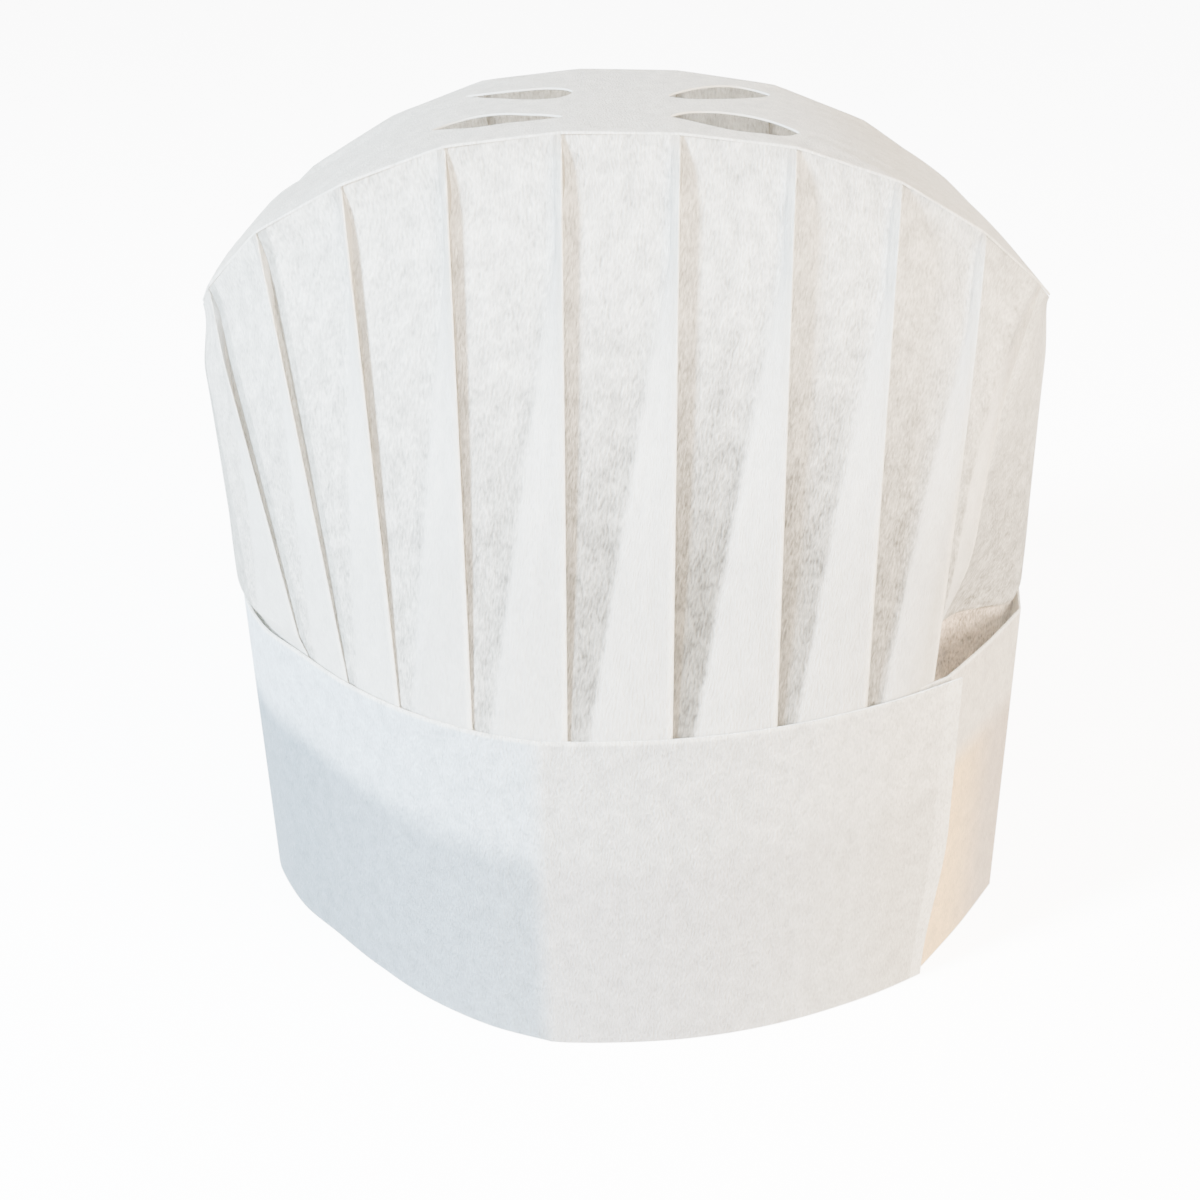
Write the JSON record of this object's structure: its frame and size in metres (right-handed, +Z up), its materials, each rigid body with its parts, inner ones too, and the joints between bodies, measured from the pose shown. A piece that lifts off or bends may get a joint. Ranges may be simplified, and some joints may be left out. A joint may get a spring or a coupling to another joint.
{
  "type": "disposable chef hat",
  "caption": "White nonwoven chef hat with a knife-pleated wall, an arched vented crown and a plain lapped headband.",
  "frame": {"origin": "centre of the hat's footprint on the surface that its headband stands on", "axes": "+Z up through the crown, the front of the hat towards -Y, the headband's lap at the front right (+X)"},
  "size_m": [0.1972, 0.1854, 0.1894],
  "materials": {
    "crown_cloth": "matt white nonwoven viscose",
    "wall_cloth": "matt white nonwoven viscose, pleated, slightly translucent",
    "band_cloth": "matt white nonwoven viscose, smooth"
  },
  "bodies": {
    "root": {"crown": "crown_cloth", "pleated_wall": "wall_cloth", "headband": "band_cloth"}
  },
  "joints": []
}
